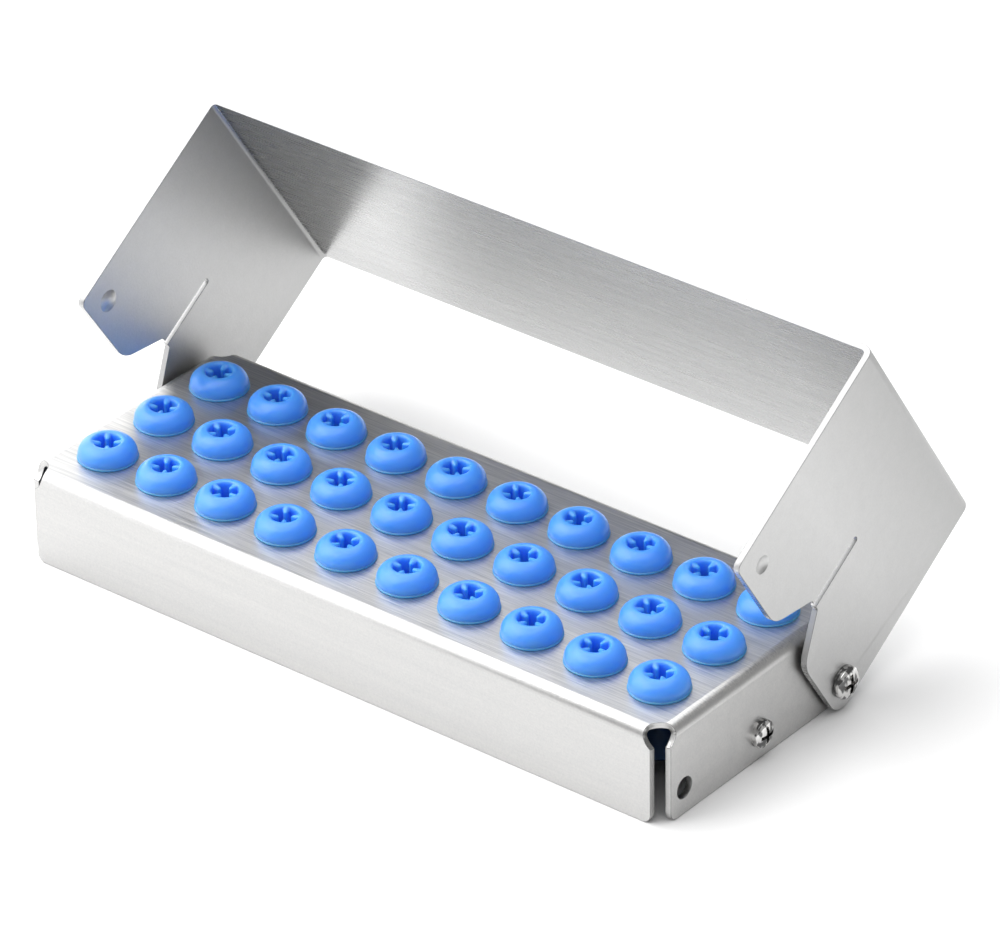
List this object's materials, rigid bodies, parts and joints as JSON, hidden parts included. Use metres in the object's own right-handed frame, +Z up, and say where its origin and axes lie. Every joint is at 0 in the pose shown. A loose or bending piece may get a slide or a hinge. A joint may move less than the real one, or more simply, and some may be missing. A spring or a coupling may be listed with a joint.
{
  "type": "dental bur block",
  "caption": "Folded aluminium block for dental burs, with silicone grommets in its top and a hinged cover that swings over them.",
  "frame": {"origin": "on the table, under the middle of the block's overall box with the cover half open as shown", "axes": "+X along the block to its right end, +Y to the rear where the cover is hinged, +Z up"},
  "size_m": [0.148, 0.0842, 0.0673],
  "materials": {
    "aluminium": "brushed satin",
    "silicone": "satin",
    "steel": "polished"
  },
  "bodies": {
    "tray": {"base_tray": "aluminium", "grommet_row1_column01": "silicone", "grommet_row2_column01": "silicone", "grommet_row3_column01": "silicone", "grommet_row1_column02": "silicone", "grommet_row2_column02": "silicone", "grommet_row3_column02": "silicone", "grommet_row1_column03": "silicone", "grommet_row2_column03": "silicone", "grommet_row3_column03": "silicone", "grommet_row1_column04": "silicone", "grommet_row2_column04": "silicone", "grommet_row3_column04": "silicone", "grommet_row1_column05": "silicone", "grommet_row2_column05": "silicone", "grommet_row3_column05": "silicone", "grommet_row1_column06": "silicone", "grommet_row2_column06": "silicone", "grommet_row3_column06": "silicone", "grommet_row1_column07": "silicone", "grommet_row2_column07": "silicone", "grommet_row3_column07": "silicone", "grommet_row1_column08": "silicone", "grommet_row2_column08": "silicone", "grommet_row3_column08": "silicone", "grommet_row1_column09": "silicone", "grommet_row2_column09": "silicone", "grommet_row3_column09": "silicone", "grommet_row1_column10": "silicone", "grommet_row2_column10": "silicone", "grommet_row3_column10": "silicone", "pivot_screw_left": "steel", "pivot_screw_right": "steel", "pivot_washer_left": "steel", "pivot_washer_right": "steel", "pivot_nut_left": "steel", "pivot_nut_right": "steel", "stop_screw_left": "steel", "stop_screw_right": "steel", "stop_nut_left": "steel", "stop_nut_right": "steel"},
    "cover": {"cover": "aluminium"}
  },
  "joints": [
    {"name": "cover_hinge", "type": "hinge", "parent": "tray", "child": "cover", "pos_m": [0, 0.00577, 0.0054], "axis": [1, 0, 0], "range_deg": [-33.3, 56.7]}
  ]
}
